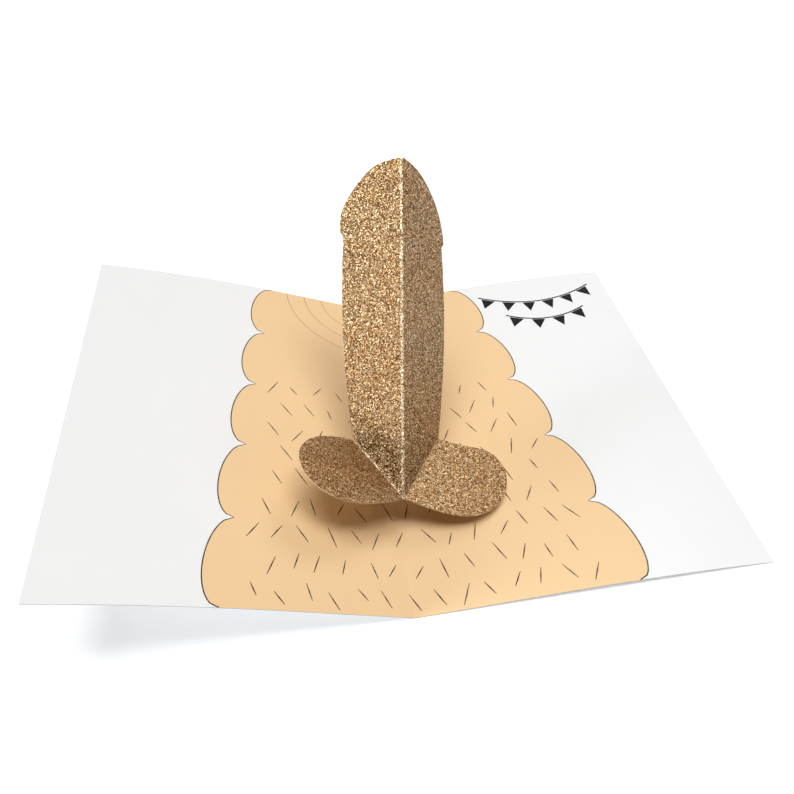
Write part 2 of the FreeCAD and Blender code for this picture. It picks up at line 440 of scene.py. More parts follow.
@dataclass(frozen=True)
class PrintDesign:
    """The generic inside print: a scalloped peach field, fine arcs, short strokes and bunting.

    Lengths are millimetres on the flat sheet: s from the fold, v from the near edge.
    """

    left_width: tuple[float, float] = (72.5, 50.0)   # of the field, at the near and the far edge
    right_width: tuple[float, float] = (83.0, 53.0)
    scallops: int = 5
    scallop_steps: int = 24
    scallop_depth: float = 8.0
    outline_width: float = 0.45
    contour_width: float = 0.32
    contour_radii: tuple[float, ...] = (20.0, 29.0, 38.0)
    contour_steps_per_mm: float = 1.6
    stroke_width: float = 0.5
    stroke_length: float = 8.0
    length_range: tuple[float, float] = (0.65, 1.15)
    lean_range_deg: tuple[float, float] = (12.0, 38.0)
    row_gap: float = 12.5
    column_gap: float = 9.5
    row_stray: float = 2.0          # how far a stroke may leave its row
    column_stray: float = 1.6
    edge_clearance: float = 8.0     # of the strokes, from the evened out edge of the field
    column_inset: float = 1.0
    strokes_end: float = 118.0
    swags: tuple[Swag, ...] = (Swag((62.0, 168.0), (119.0, 168.0), 9.0, 6),
                               Swag((72.0, 151.0), (111.0, 151.0), 6.0, 4))
    string_steps: int = 30
    string_width: float = 0.8
    flag_half_share: float = 0.33   # half a pennant's width, as a share of its part of the string
    flag_inset: float = 0.7
    flag_length: float = 7.6

    def field_width(self, sheet: CardSheet, side: Side, v: float) -> float:
        """The peach field's width on one leaf with its scallops evened out, at v."""
        near, far = self.left_width if side is Side.LEFT else self.right_width
        return near + (far - near) * v / sheet.leaf_height

    def field_edge(self, sheet: CardSheet, side: Side) -> list[Vector]:
        """The scalloped edge of the peach field on one leaf.

        Args:
            sheet: the card.
            side: the leaf.

        Returns:
            Flat points, from the near edge to the far one.
        """
        points = []
        tall, steps = sheet.leaf_height / self.scallops, self.scallop_steps
        for n in range(self.scallops):
            for i in range(steps + (n == self.scallops - 1)):
                share = i / steps
                v = (n + share) * tall
                base = self.field_width(sheet, side, v)
                bulge = self.scallop_depth * math.sqrt(max(0.0, 1.0 - (2.0 * share - 1.0) ** 2))
                reach = base + bulge - self.scallop_depth / 2.0
                points.append(Vector((side.value * reach, v)))
        return points

    def shapes(self, sheet: CardSheet) -> list[tuple[Region, list[Vector]]]:
        """Every printed shape.

        Args:
            sheet: the card.

        Returns:
            Each one's region and closed outline, from the lowest layer to the highest.
        """
        left, right = self.field_edge(sheet, Side.LEFT), self.field_edge(sheet, Side.RIGHT)
        found = [(Region.PEACH, left + list(reversed(right)))]
        found += [(Region.CONTOUR, band(path, self.contour_width)) for path in self.contours(sheet)]
        found += [(Region.OUTLINE, band(path, self.outline_width)) for path in (left, right)]
        found += [(Region.OUTLINE, shape) for shape in self.strokes(sheet)]
        found += [(Region.ORNAMENT, shape) for shape in self.bunting()]
        return found

    def contours(self, sheet: CardSheet) -> Iterable[list[Vector]]:
        """Fine arcs round the middle of the far edge, like a rising sun.

        Args:
            sheet: the card.

        Returns:
            The path of each arc.
        """
        for radius in self.contour_radii:
            steps = round(radius * self.contour_steps_per_mm)
            turns = [math.pi + math.pi * i / steps for i in range(steps + 1)]
            yield [Vector((radius * math.cos(t), sheet.leaf_height + radius * math.sin(t)))
                   for t in turns]

    def strokes(self, sheet: CardSheet) -> Iterable[list[Vector]]:
        """Short ink strokes in staggered rows, each leaning a little its own way.

        Args:
            sheet: the card.

        Returns:
            The closed outline of each stroke.
        """
        dice = random.Random(SEED)
        rows = int((self.strokes_end - self.row_gap / 2.0) / self.row_gap) + 1
        for row in range(rows):
            v = self.row_gap * (row + 0.5)
            limits = [self.field_width(sheet, side, v) - self.edge_clearance for side in Side]
            first, last = (int((limit - self.column_inset) / self.column_gap) for limit in limits)
            for column in range(-first, last + 1):
                s = (column + (0.5 if row % 2 else 0.0)) * self.column_gap
                s += dice.uniform(-self.column_stray, self.column_stray)
                lean = math.radians(dice.choice((-1, 1)) * dice.uniform(*self.lean_range_deg))
                length = self.stroke_length * dice.uniform(*self.length_range)
                if -limits[0] < s < limits[1]:
                    centre = Vector((s, v + dice.uniform(-self.row_stray, self.row_stray)))
                    yield stroke(centre, lean, length, self.stroke_width)

    def bunting(self) -> Iterable[list[Vector]]:
        """Pennants on thin strings that sag between their ends.

        Returns:
            The closed outline of each string and pennant.
        """
        steps = self.string_steps
        for swag in self.swags:
            start, end = Vector(swag.start), Vector(swag.end)

            def at(share: float) -> Vector:
                """A point of the string."""
                sag = 4.0 * swag.drop * share * (1.0 - share)
                return start.lerp(end, share) - Vector((0.0, sag))

            yield band([at(i / steps) for i in range(steps + 1)], self.string_width)
            for n in range(swag.flags):
                middle = (n + 0.5) / swag.flags
                half = self.flag_half_share / swag.flags
                a, b = at(middle - half), at(middle + half)
                down = Vector((b.y - a.y, a.x - b.x)).normalized()
                inset = down * self.flag_inset
                yield [a + inset, b + inset, (a + b) / 2.0 + down * self.flag_length]


def band(path: list[Vector], width: float) -> list[Vector]:
    """A band of an even width along a path.

    Args:
        path: the points of its middle line.
        width: from side to side.

    Returns:
        Its closed outline.
    """
    left, right = [], []
    for i, p in enumerate(path):
        before, after = path[max(i - 1, 0)], path[min(i + 1, len(path) - 1)]
        along = (after - before).normalized()
        out = Vector((-along.y, along.x)) * (width / 2.0)
        left.append(p + out)
        right.append(p - out)
    return left + list(reversed(right))


def stroke(centre: Vector, lean: float, length: float, width: float) -> list[Vector]:
    """A short ink stroke, a little fuller in the middle than at its ends.

    Args:
        centre: its middle.
        lean: its angle from the fold's direction, in radians.
        length: from end to end.
        width: at the middle.

    Returns:
        Its closed outline.
    """
    start_share, end_share = 0.5, 0.4
    along = Vector((math.sin(lean), math.cos(lean))) * (length / 2.0)
    out = Vector((along.y, -along.x)).normalized() * (width / 2.0)
    right = [centre - along + out * start_share, centre + out, centre + along + out * end_share]
    left = [centre + along - out * end_share, centre - out, centre - along - out * start_share]
    return right + left


# Meshes


class SheetMesh:
    """A thin sheet built from a flat triangulation, with a front, a back and a cut edge."""

    def __init__(self, name: str) -> None:
        """Starts an empty sheet.

        Args:
            name: what its mesh and its object are called.
        """
        self.name = name
        self.points: list[Vector] = []
        self.faces: list[tuple[int, ...]] = []
        self.slots: list[int] = []
        self.tones: list[float] = []
        # each face's painted crease highlight
        self.crease_highlights: list[float] = []

    def add_points(self, points: Iterable[Vector]) -> int:
        """Adds vertices.

        Args:
            points: their places.

        Returns:
            The index of the first one.
        """
        start = len(self.points)
        self.points += points
        return start

    def add_face(self, corners: tuple[int, ...], slot: int, tone: float = 0.5,
                 crease_highlight: float = 0.0) -> None:
        """Adds one face.

        Args:
            corners: its vertices.
            slot: its material slot.
            tone: its own tone, from 0 to 1.
            crease_highlight: how bright its painted highlight is, from 0 to 1.
        """
        self.faces.append(corners)
        self.slots.append(slot)
        self.tones.append(tone)
        self.crease_highlights.append(crease_highlight)

    def build(self, materials: list[bpy.types.Material],
              smooth: Callable[[int], bool]) -> bpy.types.Object:
        """Makes the object.

        Args:
            materials: one for each slot.
            smooth: whether a slot's faces are shaded smooth.

        Returns:
            The new object, linked to the scene.
        """
        mesh = bpy.data.meshes.new(self.name)
        mesh.from_pydata([tuple(p) for p in self.points], [], self.faces)
        mesh.polygons.foreach_set("material_index", self.slots)
        mesh.polygons.foreach_set("use_smooth", [smooth(s) for s in self.slots])
        for name, values in (("tone", self.tones), ("crease_highlight", self.crease_highlights)):
            mesh.attributes.new(name, "FLOAT", "FACE").data.foreach_set("value", values)
        for material in materials:
            mesh.materials.append(material)
        mesh.update()
        mesh.validate()
        return new_object(self.name, mesh)


def new_object(name: str, data: bpy.types.ID) -> bpy.types.Object:
    """Adds an object to the scene.

    Args:
        name: what it is called.
        data: its mesh, lamp or camera.

    Returns:
        The object.
    """
    obj = bpy.data.objects.new(name, data)
    bpy.context.scene.collection.objects.link(obj)
    return obj


class FlatCut:
    """Triangles of a flat sheet that follow its edge, its creases and its printed shapes."""

    def __init__(self, edge: list[Vector]) -> None:
        """Starts from the bare sheet.

        Args:
            edge: its closed edge.
        """
        self.points = list(edge)
        self.loops = [list(range(len(edge)))]
        self.lines: list[tuple[int, int]] = []

    def add_shape(self, outline: list[Vector]) -> None:
        """Adds a printed shape, turned anticlockwise as the cutter wants it.

        Args:
            outline: its closed outline.
        """
        turning = sum(a.cross(b) for a, b in zip(outline, outline[1:] + outline[:1]))
        start = len(self.points)
        self.points += outline if turning > 0.0 else list(reversed(outline))
        self.loops.append(list(range(start, start + len(outline))))

    def add_line(self, points: list[Vector]) -> None:
        """Adds a line that triangles may not cross.

        Args:
            points: the points along it.
        """
        start = len(self.points)
        self.points += points
        self.lines += [(start + i, start + i + 1) for i in range(len(points) - 1)]

    def add_points(self, points: Iterable[Vector]) -> None:
        """Adds loose points inside the sheet."""
        self.points += points

    def triangles(self) -> tuple[list[Vector], list[tuple[int, int, int]], list[int]]:
        """Cuts the sheet into triangles.

        Returns:
            The flat points, the triangles and, for each one, the highest shape that holds it,
            where 0 is the bare sheet.
        """
        inside_only, tolerance, with_origins = 1, 1e-5, True
        points, _, faces, _, _, origins = delaunay_2d_cdt(
            self.points, self.lines, self.loops, inside_only, tolerance, with_origins)
        kept = [(f, max(o)) for f, o in zip(faces, origins) if 0 in o]
        used = sorted({i for f, _ in kept for i in f})
        place = {old: new for new, old in enumerate(used)}
        faces = [tuple(place[i] for i in f) for f, _ in kept]
        return [points[i] for i in used], faces, [top for _, top in kept]


def boundary(triangles: list[tuple[int, int, int]]) -> list[tuple[int, int]]:
    """The edges that only one triangle has, in that triangle's direction."""
    seen = {(a, b) for t in triangles for a, b in zip(t, t[1:] + t[:1])}
    return [(a, b) for a, b in seen if (b, a) not in seen]


def steps_between(low: float, high: float, gap: float) -> list[float]:
    """Evenly spaced values from low to high, about gap apart."""
    count = max(1, round((high - low) / gap))
    return [low + (high - low) * i / count for i in range(count + 1)]


# Node groups and finishes

Stops = tuple[tuple[float, tuple[float, float, float]], ...]    # of a ramp: place and colour


class Tree:
    """A short way to add and join the nodes of one tree."""

    def __init__(self, tree: bpy.types.NodeTree) -> None:
        """Works on tree."""
        self.tree = tree

    def add(self, kind: str, inputs: dict | None = None, **settings: object) -> bpy.types.Node:
        """Adds a node.

        Args:
            kind: the node's type name, without "ShaderNode".
            inputs: socket name or index, with a value or the output socket that feeds it.
            settings: properties of the node.

        Returns:
            The node.
        """
        node = self.tree.nodes.new("ShaderNode" + kind)
        for key, value in settings.items():
            setattr(node, key, value)
        for key, value in (inputs or {}).items():
            if isinstance(value, bpy.types.NodeSocket):
                self.tree.links.new(value, node.inputs[key])
            else:
                node.inputs[key].default_value = value
        return node

    def find(self, kind: str) -> bpy.types.Node:
        """The tree's first node of a type."""
        return next(node for node in self.tree.nodes if node.type == kind)

    def ramp(self, factor: bpy.types.NodeSocket, stops: Stops) -> bpy.types.NodeSocket:
        """A ramp of colours.

        Args:
            factor: what runs along the ramp.
            stops: each colour's place and the colour.

        Returns:
            The colour.
        """
        node = self.add("ValToRGB", {"Fac": factor})
        elements = node.color_ramp.elements
        while len(elements) < len(stops):
            elements.new(0.5)
        for element, (at, colour) in zip(elements, stops):
            element.position = at
            element.color = (*colour, 1.0)
        return node.outputs["Color"]

    def mix(self, factor: object, a: object, b: object, blend: str = "MIX") -> bpy.types.NodeSocket:
        """A colour mixed from a and b."""
        colours = {0: factor, 6: a, 7: b}
        return self.add("Mix", colours, data_type="RGBA", blend_type=blend).outputs[2]

    def math(self, operation: str, a: object, b: object) -> bpy.types.NodeSocket:
        """The sum of a and b, or what another operation makes of them."""
        return self.add("Math", {0: a, 1: b}, operation=operation).outputs[0]

    def scaled(self, factor: float, low: object, value: object) -> bpy.types.NodeSocket:
        """The sum of low and factor times value."""
        return self.math("ADD", low, self.math("MULTIPLY", value, factor))

    def vector(self, operation: str, inputs: dict) -> bpy.types.NodeSocket:
        """The vector that an operation makes of its inputs."""
        return self.add("VectorMath", inputs, operation=operation).outputs[0]

    def noise(self, at: bpy.types.NodeSocket, scale: float, detail: float) -> bpy.types.NodeSocket:
        """Cloudy values from 0 to 1 over the places at."""
        inputs = {"Vector": at, "Scale": scale, "Detail": detail}
        return self.add("TexNoise", inputs).outputs["Fac"]


class Group:
    """A shared node group with named inputs and outputs."""

    def __init__(self, name: str, inputs: dict[str, tuple[str, object]],
                 outputs: dict[str, str]) -> None:
        """Makes the group's sockets.

        Args:
            name: the group's name.
            inputs: each input's kind, Float or Color, and its usual value.
            outputs: each output's kind.
        """
        self.tree = bpy.data.node_groups.new(name, "ShaderNodeTree")
        sockets = self.tree.interface
        for key, (kind, value) in inputs.items():
            socket = sockets.new_socket(key, in_out="INPUT", socket_type="NodeSocket" + kind)
            socket.default_value = value
        for key, kind in outputs.items():
            sockets.new_socket(key, in_out="OUTPUT", socket_type="NodeSocket" + kind)
        self.nodes = Tree(self.tree)
        self.source = self.tree.nodes.new("NodeGroupInput").outputs
        self.target = self.tree.nodes.new("NodeGroupOutput").inputs

    def put(self, **outputs: bpy.types.NodeSocket) -> None:
        """Joins the named outputs."""
        for key, socket in outputs.items():
            self.tree.links.new(socket, self.target[key])

    def place(self, nodes: Tree, inputs: dict) -> bpy.types.bpy_prop_collection:
        """Adds the group to a material with its own values, and returns its outputs."""
        return nodes.add("Group", inputs, node_tree=self.tree).outputs


def paper_fibre_group() -> Group:
    """Fibre, mottle and fine grain of uncoated card.

    Returns:
        The group.
    """
    cloud_share, fibre_share, rough_swing = 0.6, 0.4, 0.12
    group = Group("paper_fibre",
                  {"Color": ("Color", (0.9, 0.9, 0.9, 1.0)), "Mottle": ("Float", 0.03),
                   "Rough": ("Float", 0.55)},
                  {"Color": "Color", "Roughness": "Float", "Height": "Float"})
    nodes, source = group.nodes, group.source
    at = nodes.add("TexCoord").outputs["Object"]
    cloud = nodes.noise(at, 60.0, 3.0)
    long_way = nodes.add("Mapping", {"Vector": at, "Scale": (1.0, 0.35, 1.0)}).outputs["Vector"]
    fibre = nodes.noise(long_way, 2600.0, 2.0)
    both = nodes.math("ADD", nodes.math("MULTIPLY", cloud, cloud_share),
                      nodes.math("MULTIPLY", fibre, fibre_share))
    off = nodes.math("MULTIPLY", nodes.math("SUBTRACT", both, 0.5), source["Mottle"])
    value = nodes.scaled(2.0, 1.0, off)
    colour = nodes.add("HueSaturation", {"Color": source["Color"], "Value": value}).outputs["Color"]
    rough = nodes.scaled(rough_swing, source["Rough"], nodes.math("SUBTRACT", fibre, 0.5))
    group.put(Color=colour, Roughness=rough, Height=fibre)
    return group


def glitter_flake_group() -> Group:
    """Colour, shine and tilt of glitter flakes, from each facet's own tone and its painted
    highlight.

    Returns:
        The group.
    """
    tones: Stops = ((0.10, (0.017, 0.006, 0.002)), (0.30, (0.096, 0.036, 0.009)),
                    (0.50, (0.226, 0.108, 0.034)), (0.67, (0.410, 0.258, 0.113)),
                    (0.86, (0.880, 0.765, 0.525)))
    warmth: Stops = ((0.35, (1.0, 0.90, 0.80)), (0.65, (1.0, 1.0, 1.0)))
    # pale cream of the painted highlight along the creases, which stands in for glints of light
    highlight_colour = (0.93, 0.82, 0.60, 1.0)
    tone_share, cell_share, warmth_share = 0.55, 0.45, 0.6
    low_rough, rough_swing = 0.24, 0.25
    plain_metal, metal_loss = 0.90, 0.5
    group = Group("glitter_flakes",
                  {"Tone": ("Float", 0.5), "Highlight": ("Float", 0.0), "Size": ("Float", 0.45),
                   "Tilt": ("Float", 0.35)},
                  {"Color": "Color", "Roughness": "Float", "Metallic": "Float", "Normal": "Vector"})
    nodes, source = group.nodes, group.source
    at = nodes.add("TexCoord").outputs["Object"]
    per_metre = nodes.math("DIVIDE", 1000.0, source["Size"])
    cell = nodes.add("TexVoronoi", {"Vector": at, "Scale": per_metre}, feature="F1")
    grain = nodes.add("SeparateColor", {"Color": cell.outputs["Color"]}).outputs
    mixed = nodes.math("ADD", nodes.math("MULTIPLY", source["Tone"], tone_share),
                       nodes.math("MULTIPLY", grain[0], cell_share))
    flake = nodes.ramp(mixed, tones)
    cloud = nodes.noise(at, 55.0, 2.0)
    tinted = nodes.mix(warmth_share, flake, nodes.ramp(cloud, warmth), "MULTIPLY")
    # the painted highlight turns flakes pale cream and less metallic
    crease_highlight = source["Highlight"]
    colour = nodes.mix(crease_highlight, tinted, highlight_colour)
    rough = nodes.scaled(rough_swing, low_rough, grain[1])
    metallic = nodes.math("SUBTRACT", plain_metal, nodes.math("MULTIPLY", crease_highlight, metal_loss))
    spread = nodes.vector("SUBTRACT", {0: cell.outputs["Color"], 1: (0.5, 0.5, 0.5)})
    lean = nodes.vector("SCALE", {0: spread, "Scale": source["Tilt"]})
    facing = nodes.add("NewGeometry").outputs["Normal"]
    normal = nodes.vector("NORMALIZE", {0: nodes.vector("ADD", {0: facing, 1: lean})})
    group.put(Color=colour, Roughness=rough, Metallic=metallic, Normal=normal)
    return group


@dataclass(frozen=True)
class PaperFinish:
    """Uncoated card, bare or printed."""

    name: str
    colour: tuple[float, float, float]
    mottle: float = 0.025
    rough: float = 0.55
    grain: float = 0.06
    grain_depth: float = 0.00003
    specular: float = 0.35

    def make(self, fibre: Group) -> bpy.types.Material:
        """Makes the material, with fibre and fine grain in its surface.

        Args:
            fibre: the shared fibre group.

        Returns:
            The material.
        """
        material, nodes, shader = new_material(self.name)
        out = fibre.place(nodes, {"Color": (*self.colour, 1.0), "Mottle": self.mottle,
                                  "Rough": self.rough})
        bump = nodes.add("Bump", {"Height": out["Height"], "Strength": self.grain,
                                  "Distance": self.grain_depth})
        join(nodes, shader, {"Base Color": out["Color"], "Roughness": out["Roughness"],
                             "Normal": bump.outputs["Normal"]})
        shader.inputs["Specular IOR Level"].default_value = self.specular
        return material


@dataclass(frozen=True)
class GlitterFinish:
    """Rose-gold glitter coat."""

    name: str = "rose_gold_glitter"
    size: float = 0.30
    tilt: float = 0.95

    def make(self, flakes: Group) -> bpy.types.Material:
        """Makes the material, which reads each facet's tone and its painted crease highlight.

        Args:
            flakes: the shared flake group.

        Returns:
            The material.
        """
        material, nodes, shader = new_material(self.name)
        tone = nodes.add("Attribute", attribute_name="tone").outputs["Fac"]
        crease_highlight = nodes.add("Attribute", attribute_name="crease_highlight").outputs["Fac"]
        out = flakes.place(nodes, {"Tone": tone, "Highlight": crease_highlight, "Size": self.size,
                                   "Tilt": self.tilt})
        join(nodes, shader, {"Base Color": out["Color"], "Roughness": out["Roughness"],
                             "Metallic": out["Metallic"], "Normal": out["Normal"]})
        return material


def new_material(name: str) -> tuple[bpy.types.Material, Tree, bpy.types.Node]:
    """Makes a bare material.

    Args:
        name: what it is called.

    Returns:
        The material, its node tree and its Principled shader.
    """
    material = bpy.data.materials.new(name)
    material.use_nodes = True
    nodes = Tree(material.node_tree)
    return material, nodes, nodes.find("BSDF_PRINCIPLED")


def join(nodes: Tree, node: bpy.types.Node, sockets: dict[str, bpy.types.NodeSocket]) -> None:
    """Feeds a node's named inputs."""
    for key, socket in sockets.items():
        nodes.tree.links.new(socket, node.inputs[key])


class Finishes:
    """Every material of the part, made once."""

    def __init__(self) -> None:
        """Builds the shared groups and the materials."""
        fibre, flakes = paper_fibre_group(), glitter_flake_group()
        self.white = PaperFinish("white_card", (0.90, 0.90, 0.895)).make(fibre)
        self.peach = PaperFinish("peach_ink", (0.895, 0.615, 0.330), mottle=0.02).make(fibre)
        self.contour = PaperFinish("contour_ink", (0.42, 0.26, 0.14)).make(fibre)
        self.outline = PaperFinish("outline_ink", (0.045, 0.028, 0.018), mottle=0.1,
                                   specular=0.1).make(fibre)
        self.black = PaperFinish("ornament_ink", (0.006, 0.006, 0.006), mottle=0.1,
                                 specular=0.08).make(fibre)
        self.cut_edge = PaperFinish("cut_edge", (0.80, 0.77, 0.72), rough=0.8,
                                    grain=0.2).make(fibre)
        self.glitter_edge = PaperFinish("glitter_sheet_edge", (0.62, 0.47, 0.32), rough=0.8,
                                        grain=0.3).make(fibre)
        self.glitter_back = PaperFinish("glitter_sheet_back", (0.66, 0.52, 0.37), rough=0.7,
                                        grain=0.1).make(fibre)
        self.glitter = GlitterFinish().make(flakes)


# Pieces


@dataclass(frozen=True)
class PrintedCard:
    """The folded card with its inside print."""

    sheet: CardSheet
    design: PrintDesign
    space: CardSpace
    row_step: float = 6.0       # between points along the fold
    bend_lines: int = 12        # lines across the fold's bend
    arch_step: float = 4.0      # between lines on the arched part of a leaf

    def bend_stations(self) -> list[float]:
        """Where the sheet's surface changes direction.

        Returns:
            Distances from the fold, negative on the left leaf.
        """
        sheet = self.sheet
        half = steps_between(0.0, sheet.bend_length, 2.0 * sheet.bend_length / self.bend_lines)
        flat_end = sheet.bend_length + sheet.flat_strip
        half += steps_between(sheet.bend_length, flat_end, self.arch_step * 2.0)[1:]
        half += steps_between(flat_end, sheet.leaf_width, self.arch_step)[1:]
        return [-s for s in reversed(half[1:])] + half

    def build(self, finishes: Finishes) -> bpy.types.Object:
        """Cuts the sheet round its print, bends it, thickens it and dresses it.

        Args:
            finishes: the part's materials.

        Returns:
            The card.
        """
        sheet = self.sheet
        stations = self.bend_stations()
        rows = steps_between(0.0, sheet.leaf_height, self.row_step)
        edge = [Vector((s, 0.0)) for s in stations]
        edge += [Vector((sheet.leaf_width, v)) for v in rows[1:]]
        edge += [Vector((s, sheet.leaf_height)) for s in reversed(stations[:-1])]
        edge += [Vector((-sheet.leaf_width, v)) for v in reversed(rows[1:-1])]
        cut = FlatCut(edge)
        shapes = self.design.shapes(sheet)
        for _, outline in shapes:
            cut.add_shape(outline)
        for s in stations[1:-1]:
            cut.add_line([Vector((s, v)) for v in rows])
        flat, triangles, tops = cut.triangles()
        regions = [Region.PAPER] + [region for region, _ in shapes]
        mesh = SheetMesh("printed_card")
        for depth in (0.0, sheet.thickness):
            points = []
            for p in flat:
                x, z = sheet.section(p.x, depth)
                points.append(self.space.place(Vector((x, p.y, z))))
            mesh.add_points(points)
        back = len(flat)
        edge_slot = len(Region)
        for t, top in zip(triangles, tops):
            mesh.add_face(t, regions[top].value)
            mesh.add_face(tuple(back + i for i in reversed(t)), Region.PAPER.value)
        for a, b in boundary(triangles):
            mesh.add_face((b, a, back + a, back + b), edge_slot)
        materials = [finishes.white, finishes.peach, finishes.contour, finishes.outline,
                     finishes.black, finishes.cut_edge]
        obj = mesh.build(materials, lambda slot: slot != edge_slot)
        sharpen(obj)
        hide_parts("card")
        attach(obj, ROOT)
        return obj


def sharpen(obj: bpy.types.Object) -> None:
    """Keeps the cut edges of a smooth sheet crisp."""
    obj.data.set_sharp_from_angle(angle=math.radians(CRISP_EDGE_DEG))


@dataclass(frozen=True)
class GlitterPopup:
    """The folded glitter-card pop-up.

    Each crease has a band of painted highlight, pale flakes that stand in for its glints of light;
    the crease bands give how far that band lies to the side, its width and how bright it is.
    """

    pattern: PopupPattern
    space: CardSpace
    grain: float = 0.40         # between the corners of the glitter's facets
    grain_jitter: float = 0.28  # how far a corner may leave its place, as a share of the grain
    back_grain: float = 3.0
    crease_step: float = 0.6    # least distance between points along a crease
    edge_margin: float = 0.35   # kept free of corners along the edge, as a share of the grain
    roughness: float = 0.05     # how far a facet's corner stands out or in
    crease_highlight_bands: tuple[tuple[float, float, float], ...] = (
        (-0.55, 1.6, 1.0), (0.0, 0.8, 0.2), (0.3, 2.2, 0.8))
    highlight_gaps: float = 0.5      # share of a band's middle line left without painted highlight
    highlight_range: tuple[float, float] = (0.5, 1.0)

    def flat_triangles(self, step: float,
                       jitter: float) -> tuple[list[Vector], list[tuple[int, int, int]]]:
        """Cuts the pattern into triangles.

        Args:
            step: distance between points inside the sheet.
            jitter: how far each point may leave its place, as a share of the step.

        Returns:
            The flat points and the triangles.
        """
        dice = random.Random(SEED)
        edge = self.pattern.outline()
        cut = FlatCut(edge)
        for a, b in self.pattern.creases():
            length = (b - a).length
            count = max(2, round(length / max(step, self.crease_step)))
            cut.add_line([a.lerp(b, i / count) for i in range(count + 1)])
        low = Vector((min(p.x for p in edge), min(p.y for p in edge)))
        high = Vector((max(p.x for p in edge), max(p.y for p in edge)))
        row_gap = step * math.sqrt(3.0) / 2.0
        inside = PolygonTest(edge, step * self.edge_margin)
        loose = []
        for row in range(int((high.y - low.y) / row_gap) + 1):
            for column in range(int((high.x - low.x) / step) + 1):
                p = Vector((low.x + (column + 0.5 * (row % 2)) * step, low.y + row * row_gap))
                stray = dice.uniform(-jitter, jitter), dice.uniform(-jitter, jitter)
                p += Vector(stray) * step
                if inside.holds(p):
                    loose.append(p)
        cut.add_points(loose)
        flat, triangles, _ = cut.triangles()
        return flat, triangles

    def crease_highlight(self, p: Vector, dice: random.Random) -> float:
        """How bright a facet's painted highlight is: a broken band of pale flakes along the
        creases.

        Args:
            p: the facet's middle on the flat pattern.
            dice: the source of the band's breaks.

        Returns:
            From 0, no highlight, to 1, painted bright.
        """
        glint = 0.0
        for (a, b), (shift, width, strength) in zip(self.pattern.creases(), self.crease_highlight_bands):
            offset = Vector((shift, 0.0))
            away = segment_distance(p, a + offset, b + offset) / (width / 2.0)
            if away < 1.0 and dice.random() > self.highlight_gaps + (1.0 - self.highlight_gaps) * away:
                glint = max(glint, strength * dice.uniform(*self.highlight_range))
        return glint

    def build(self, finishes: Finishes) -> bpy.types.Object:
        """Folds the front and the back, joins them along the cut edge and dresses the sheet.

        Args:
            finishes: the part's materials.

        Returns:
            The pop-up.
        """
        folded = FoldedPopup(self.pattern)
        dice = random.Random(SEED)
        front_slot, back_slot, edge_slot = range(3)
        mesh = SheetMesh("glitter_popup")
        rims = []
        half_sheet = self.pattern.thickness / 2.0
        for step, jitter, half, slot in (
                (self.grain, self.grain_jitter, half_sheet, front_slot),
                (self.back_grain, 0.0, -half_sheet, back_slot)):
            flat, triangles = self.flat_triangles(step, jitter)
            rim = boundary(triangles)
            on_rim = {i for edge in rim for i in edge}
            points = []
            for i, p in enumerate(flat):
                plain = i in on_rim or slot == back_slot
                bump = 0.0 if plain else dice.uniform(-1.0, 1.0) * self.roughness
                points.append(self.space.place(folded.fold(p) + folded.front(p) * (half + bump)))
            start = mesh.add_points(points)
            for t in triangles:
                corners = tuple(start + i for i in (t if slot == front_slot else reversed(t)))
                middle = (flat[t[0]] + flat[t[1]] + flat[t[2]]) / 3.0
                # each front facet gets a random tone and its painted crease highlight
                mesh.add_face(corners, slot, dice.random(), self.crease_highlight(middle, dice))
            rims.append({rim_key(flat[a]): start + a for a, _ in rim})
            if slot == front_slot:
                front_rim = [(rim_key(flat[a]), rim_key(flat[b])) for a, b in rim]
        for a, b in front_rim:
            mesh.add_face((rims[0][b], rims[0][a], rims[1][a], rims[1][b]), edge_slot)
        obj = mesh.build([finishes.glitter, finishes.glitter_back, finishes.glitter_edge],
                         lambda slot: slot == back_slot)
        sharpen(obj)
        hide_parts("popup")
        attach(obj, ROOT)
        return obj


def rim_key(p: Vector) -> tuple[int, int]:
    """A flat point's place to a thousandth of a millimetre, to match two cuts of one edge."""
    per_mm = 1000.0
    return round(p.x * per_mm), round(p.y * per_mm)


class PolygonTest:
    """Tells whether a flat point lies inside an edge, at least a margin away from it."""

    def __init__(self, edge: list[Vector], margin: float) -> None:
        """Keeps the edge's segments.

        Args:
            edge: the closed edge.
            margin: how far from it a point has to lie.
        """
        self.a = np.array([(p.x, p.y) for p in edge])
        self.b = np.roll(self.a, -1, axis=0)
        self.margin = margin

    def holds(self, p: Vector) -> bool:
        """Tests one point.

        Args:
            p: the flat point.

        Returns:
            True if it is inside, clear of the edge.
        """
        a, b = self.a, self.b
        spans = (a[:, 1] > p.y) != (b[:, 1] > p.y)
        rise = np.where(spans, b[:, 1] - a[:, 1], 1.0)
        crossing = a[:, 0] + (p.y - a[:, 1]) * (b[:, 0] - a[:, 0]) / rise
        if np.count_nonzero(spans & (crossing > p.x)) % 2 == 0:
            return False
        along, to_p = b - a, np.array((p.x, p.y)) - a
        tiny = 1e-12
        share = np.clip((to_p * along).sum(1) / np.maximum((along ** 2).sum(1), tiny), 0.0, 1.0)
        return bool((((to_p - along * share[:, None]) ** 2).sum(1)).min() > self.margin ** 2)


@dataclass(frozen=True)
class Risers:
    """The two folded risers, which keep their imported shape."""

    nodes: tuple[str, ...] = ("riser_left", "riser_right")

    def dress(self, finishes: Finishes) -> None:
        """Gives each riser plain white card.

        Args:
            finishes: the part's materials.
        """
        for name in self.nodes:
            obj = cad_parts[name]
            obj.data.materials.clear()
            obj.data.materials.append(finishes.white)


# Studio


